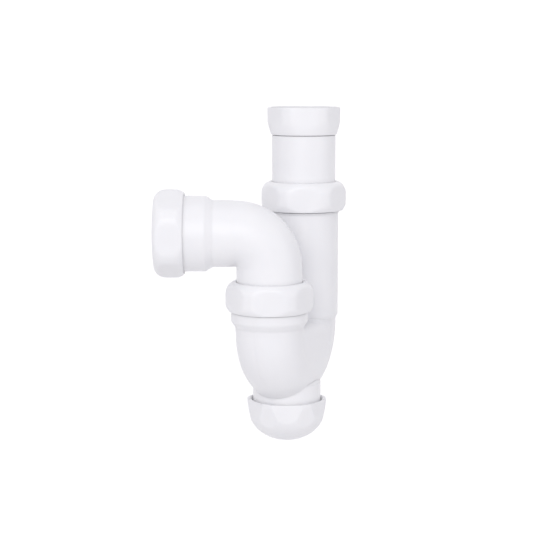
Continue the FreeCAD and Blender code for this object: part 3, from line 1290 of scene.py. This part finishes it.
@dataclass
class Studio:
    """A pale floor with a curved backdrop, an even sky and the soft lamps."""

    floor_drop: float = 0.42
    half_width: float = 4.0
    front: float = -3.0
    back: float = 2.4
    wall_height: float = 4.0
    curve_radius: float = 1.2
    curve_steps: int = 24
    paper_colour: Colour = (0.81, 0.805, 0.81, 1.0)
    paper_shade: float = 0.985
    paper_blotch: float = 0.35
    paper_detail: float = 3.0
    white_lift: float = 0.5
    sky_colour: Colour = (0.98, 0.97, 1.0, 1.0)
    sky_strength: float = 0.745
    seen_colour: Colour = (1.0, 1.0, 1.0, 1.0)
    softboxes: tuple[Softbox, ...] = (
        Softbox("key_softbox", (-0.35, -1.50, 0.50), width=1.3, height=1.1, watts=8.3),
        Softbox("fill_softbox", (1.30, -0.90, 0.30), width=0.9, height=0.9, watts=1.5),
        Softbox("top_softbox", (0.0, -0.30, 1.45), width=1.0, height=0.8, watts=0.8),
    )

    def backdrop_profile(self, floor_level: float) -> list[tuple[float, float]]:
        """Give the sweep's side view.

        Args:
            floor_level: the floor's height, in metres.

        Returns:
            Points as (distance back, height).
        """
        profile = [(self.front, floor_level)]
        bend_start = self.back - self.curve_radius
        for step in range(self.curve_steps + 1):
            angle = math.pi / 2 * step / self.curve_steps
            distance = bend_start + self.curve_radius * math.sin(angle)
            profile.append((distance, floor_level + self.curve_radius * (1 - math.cos(angle))))
        profile.append((self.back, floor_level + self.wall_height))
        return profile

    def sweep_material(self) -> Material:
        """Build the pale matt material, lifted to white where the camera or a reflection sees it.

        Returns:
            The finished material.
        """
        sheet = NodeSheet(bpy.data.materials.new("backdrop_paper"))
        paper = sheet.noise(sheet.place(), self.paper_blotch, self.paper_detail)
        matt = sheet.add("BsdfDiffuse")
        darker = tuple(part * self.paper_shade for part in self.paper_colour[:3]) + (1.0,)
        sheet.feed(matt.inputs["Color"], sheet.blend(paper, self.paper_colour, darker))
        glow = sheet.add("Emission")
        ray = sheet.add("LightPath")
        seen = sheet.maths("MAXIMUM", ray.outputs["Is Camera Ray"], ray.outputs["Is Glossy Ray"])
        seen = sheet.maths("MAXIMUM", seen, ray.outputs["Is Transmission Ray"])
        sheet.feed(glow.inputs["Strength"], sheet.maths("MULTIPLY", seen, self.white_lift))
        both = sheet.add("AddShader")
        sheet.feed(both.inputs[0], matt.outputs[0])
        sheet.feed(both.inputs[1], glow.outputs[0])
        return sheet.finish(both)

    def build_sweep(self) -> None:
        """Build the floor and backdrop as one curved sheet."""
        profile = self.backdrop_profile(cad_box[0].z - self.floor_drop)
        sides = (-self.half_width, self.half_width)
        points = [(side, back, height) for back, height in profile for side in sides]
        lefts = range(0, len(points) - 2, 2)
        faces = [(left, left + 1, left + 3, left + 2) for left in lefts]
        mesh = mesh_of("backdrop", points, faces)
        mesh.shade_smooth()
        mesh.materials.append(self.sweep_material())
        backdrop = link_piece(mesh)
        log.info("backdrop laid")

    def build_sky(self) -> None:
        """Fill the room with even light, and show it white to the camera."""
        sheet = NodeSheet(bpy.data.worlds.new("studio_sky"))
        even = sheet.add("Background")
        even.inputs["Color"].default_value = self.sky_colour
        even.inputs["Strength"].default_value = self.sky_strength
        white = sheet.add("Background")
        white.inputs["Color"].default_value = self.seen_colour
        ray = sheet.add("LightPath")
        choice = sheet.add("MixShader")
        sheet.feed(choice.inputs["Fac"], ray.outputs["Is Camera Ray"])
        sheet.feed(choice.inputs[1], even.outputs[0])
        sheet.feed(choice.inputs[2], white.outputs[0])
        bpy.context.scene.world = sheet.finish(choice, "OutputWorld")

    def build(self, target: Vector) -> None:
        """Set up the whole studio.

        Args:
            target: the point that the lamps face.
        """
        self.build_sweep()
        self.build_sky()
        for softbox in self.softboxes:
            softbox.build(target)
        bpy.context.scene.view_settings.view_transform = "Standard"


@dataclass
class Viewpoint:
    """The camera, straight in front of the trap and a little above it, as in the photograph."""

    aim: Point = (-18.13 * MM, -24.0 * MM, -103.1 * MM)
    distance: float = 0.93
    elevation_degrees: float = 8.0
    focal_pixels: float = 1497.0
    image_pixels: float = 550.0
    sensor_width: float = 36.0
    near_clip: float = 0.05
    far_clip: float = 30.0

    def build(self) -> None:
        """Make the camera and use it."""
        data = bpy.data.cameras.new("camera")
        data.sensor_width = self.sensor_width
        data.lens = self.focal_pixels / self.image_pixels * self.sensor_width
        data.clip_start = self.near_clip
        data.clip_end = self.far_clip
        elevation = math.radians(self.elevation_degrees)
        back = Vector((0, -math.cos(elevation), math.sin(elevation)))
        camera = bpy.data.objects.new("camera", data)
        camera.location = Vector(self.aim) + back * self.distance
        camera.rotation_euler = (-back).to_track_quat("-Z", "Y").to_euler()
        bpy.context.scene.collection.objects.link(camera)
        bpy.context.scene.camera = camera


def main() -> None:
    """Dress the trap from the top down, then set up the studio and the camera."""
    logging.basicConfig(level=logging.INFO, format="%(name)s: %(message)s")
    InletUnion().build()
    trap_finish = TrapBody().build()
    elbow_finish = OutletElbow().build()
    CompressionJoint("inlet_leg", "inlet_clamp", "trap", UP, trap_finish).build()
    CompressionJoint("outlet_leg", "elbow_clamp", "trap", UP, trap_finish).build()
    CompressionJoint("outlet", "pipe_clamp", "elbow", LEFT, elbow_finish).build()
    Cleanout(trap_finish).build()
    Studio().build((cad_box[0] + cad_box[1]) / 2)
    Viewpoint().build()


if __name__ == "__main__":
    main()
